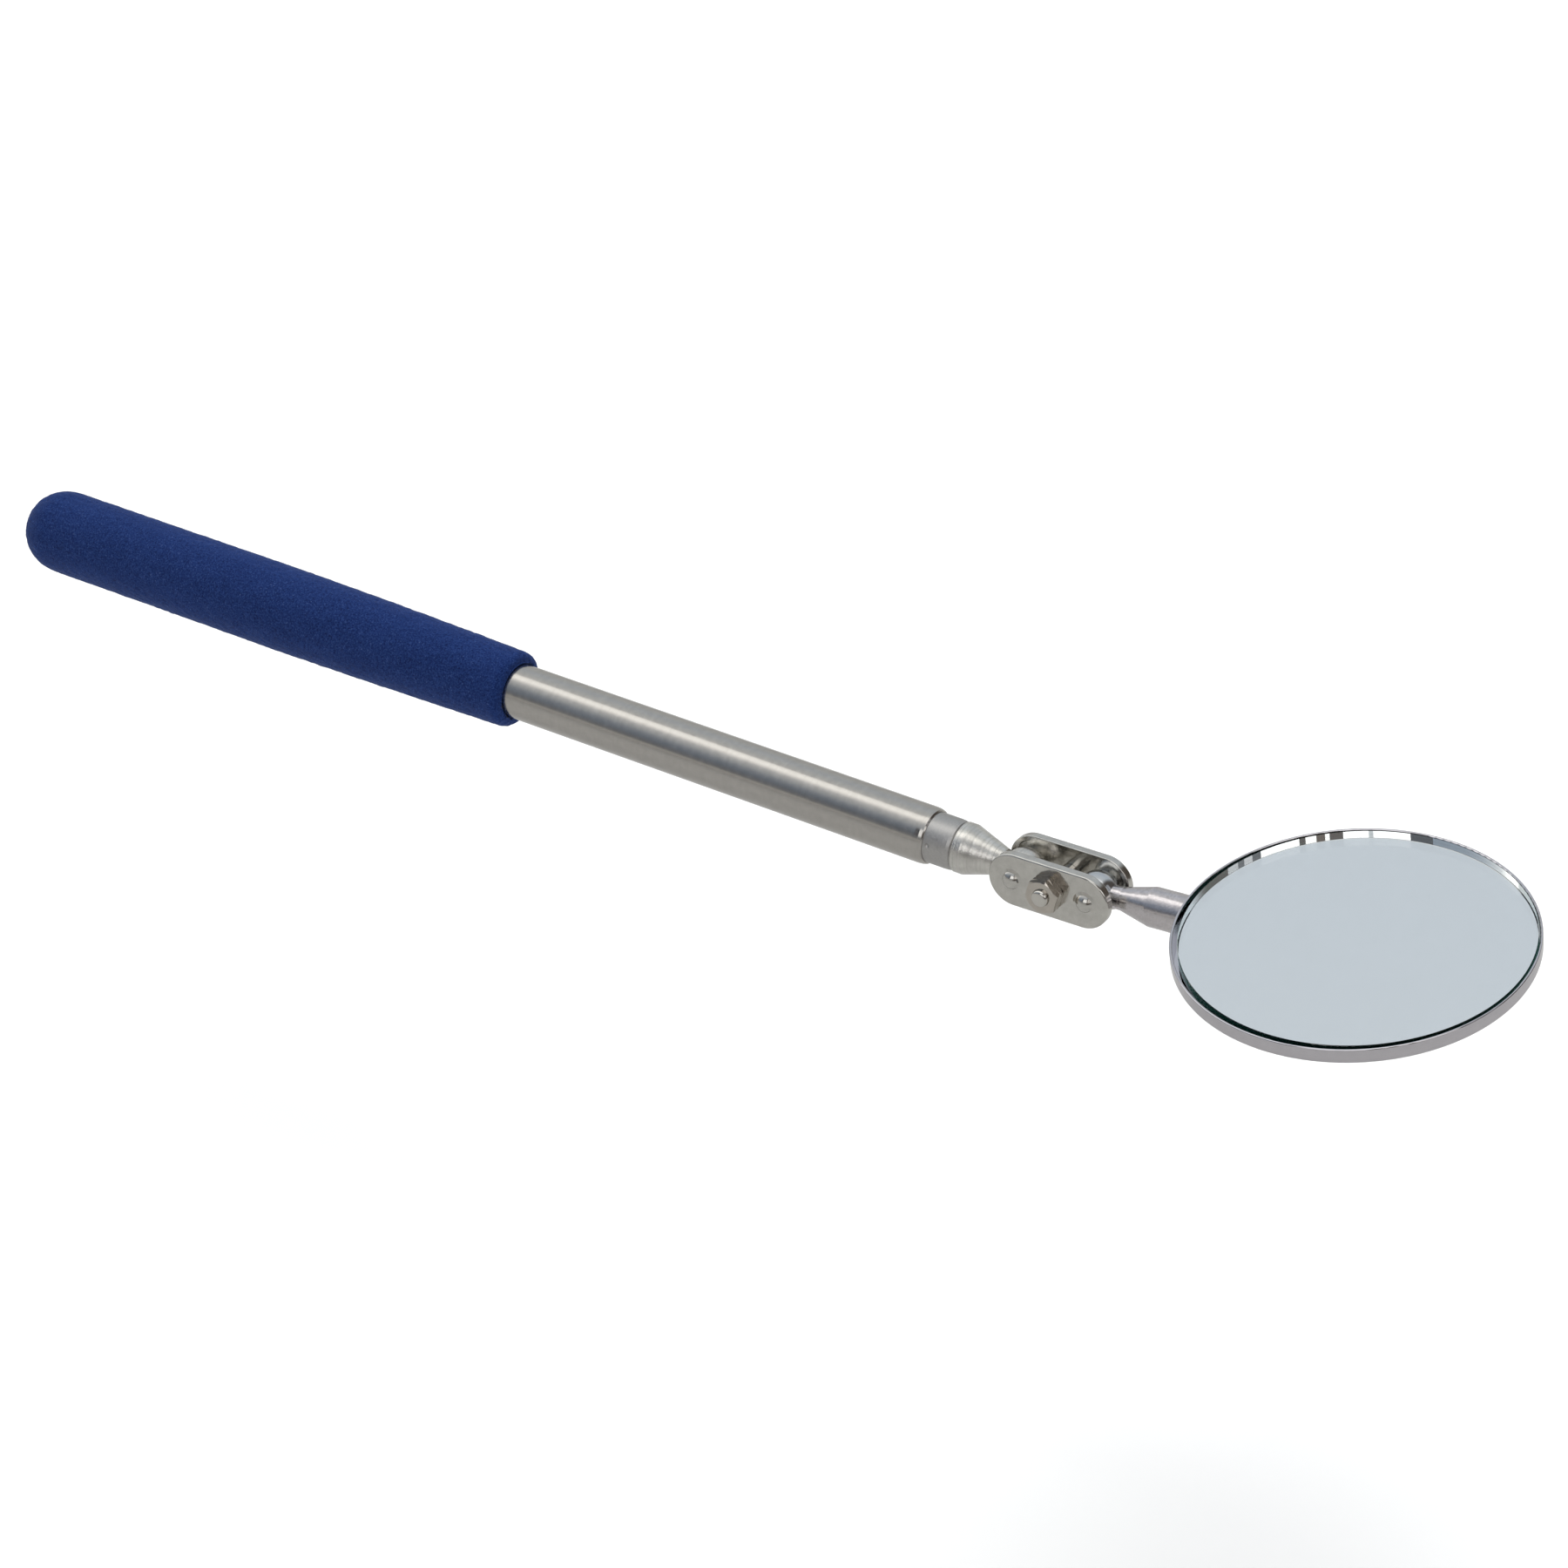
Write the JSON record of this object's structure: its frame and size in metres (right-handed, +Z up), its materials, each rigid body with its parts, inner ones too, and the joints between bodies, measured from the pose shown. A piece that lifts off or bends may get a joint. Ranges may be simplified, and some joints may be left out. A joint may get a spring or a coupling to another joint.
{
  "type": "telescoping inspection mirror",
  "caption": "Round framed mirror on a double ball joint at the end of a telescoping steel rod with a foam grip.",
  "frame": {"origin": "on the rod's axis, in the middle of the grip's straight part, where a hand or a tool clip holds it", "axes": "+X along the rod from the grip towards the mirror; +Z up, the way the mirror faces at rest; +Y to the left when looking along +X"},
  "size_m": [0.308, 0.0575, 0.0216],
  "materials": {
    "foam_grip": "matte blue closed-cell foam",
    "outer_tube_steel": "satin stainless",
    "stage_tube_steel": "satin steel",
    "plug_plastic": "moulded",
    "turned_nickel": "turned, nickel plated",
    "pin_steel": "ground",
    "plate_nickel": "tumbled, nickel plated",
    "screw_nickel": "nickel plated",
    "nut_nickel": "nickel plated",
    "ball_steel": "polished",
    "stem_chrome": "chrome plated",
    "rivet_steel": "plated",
    "frame_chrome": "chrome plated",
    "pad_foam": "foam tape",
    "silvering": "silver coat",
    "mirror_glass": "polished float glass, back silvered",
    "bush_brass": "spring brass"
  },
  "bodies": {
    "handle": {"grip_sleeve": "foam_grip", "outer_tube": "outer_tube_steel", "tube_end_plug": "plug_plastic"},
    "second_slider": {"second_tube_bush": "bush_brass"},
    "second_stage": {"second_tube": "stage_tube_steel"},
    "third_slider": {"third_tube_bush": "bush_brass"},
    "third_stage": {"third_tube": "stage_tube_steel"},
    "fourth_slider": {"fourth_tube_bush": "bush_brass"},
    "fourth_stage": {"fourth_tube": "stage_tube_steel", "cone_ball_stud": "turned_nickel", "stud_pin": "pin_steel"},
    "clamp": {"front_clamp_plate": "plate_nickel", "rear_clamp_plate": "plate_nickel", "clamp_screw": "screw_nickel"},
    "clamp_nut": {"clamp_nut": "nut_nickel"},
    "jam_nut": {"jam_nut": "nut_nickel"},
    "mirror_ball": {"mirror_ball": "ball_steel"},
    "mirror_head": {"mirror_stem": "stem_chrome", "stem_rivets": "rivet_steel", "mirror_frame": "frame_chrome", "adhesive_pad": "pad_foam", "mirror_silvering": "silvering", "mirror_glass": "mirror_glass"}
  },
  "joints": [
    {"name": "second_stage_slide", "type": "slide", "parent": "handle", "child": "second_slider", "axis": [1, 0, 0], "range_m": [0, 0.179]},
    {"name": "second_stage_turn", "type": "hinge", "parent": "second_slider", "child": "second_stage", "pos_m": [-0.0205, 0, 0], "axis": [1, 0, 0], "continuous": true},
    {"name": "third_stage_slide", "type": "slide", "parent": "second_stage", "child": "third_slider", "axis": [1, 0, 0], "range_m": [0, 0.171]},
    {"name": "third_stage_turn", "type": "hinge", "parent": "third_slider", "child": "third_stage", "pos_m": [-0.0075, 0, 0], "axis": [1, 0, 0], "continuous": true},
    {"name": "fourth_stage_slide", "type": "slide", "parent": "third_stage", "child": "fourth_slider", "axis": [1, 0, 0], "range_m": [0, 0.158]},
    {"name": "fourth_stage_turn", "type": "hinge", "parent": "fourth_slider", "child": "fourth_stage", "pos_m": [0.0055, 0, 0], "axis": [1, 0, 0], "continuous": true},
    {"name": "rod_ball_swing", "type": "hinge", "parent": "fourth_stage", "child": "clamp", "pos_m": [0.18894, 0, 0], "axis": [-0.0006, -0.9998, 0.0174], "range_deg": [-90, 90]},
    {"name": "mirror_ball_swing", "type": "hinge", "parent": "clamp", "child": "mirror_ball", "pos_m": [0.2027, 0, 0.00047], "axis": [0.0006, 0.9998, -0.0174], "range_deg": [-90, 90]},
    {"name": "mirror_twist", "type": "hinge", "parent": "mirror_ball", "child": "mirror_head", "pos_m": [0.2027, 0, 0.00047], "axis": [0.9959, -0.0097, 0.0904], "continuous": true},
    {"name": "clamp_nut_turn", "type": "hinge", "parent": "clamp", "child": "clamp_nut", "pos_m": [0.19582, -0.00435, 0.00031], "axis": [-0.0006, -0.9998, 0.0174], "range_deg": [0, 180]},
    {"name": "jam_nut_turn", "type": "hinge", "parent": "clamp", "child": "jam_nut", "pos_m": [0.19582, -0.00435, 0.00031], "axis": [-0.0006, -0.9998, 0.0174], "range_deg": [0, 360]}
  ]
}
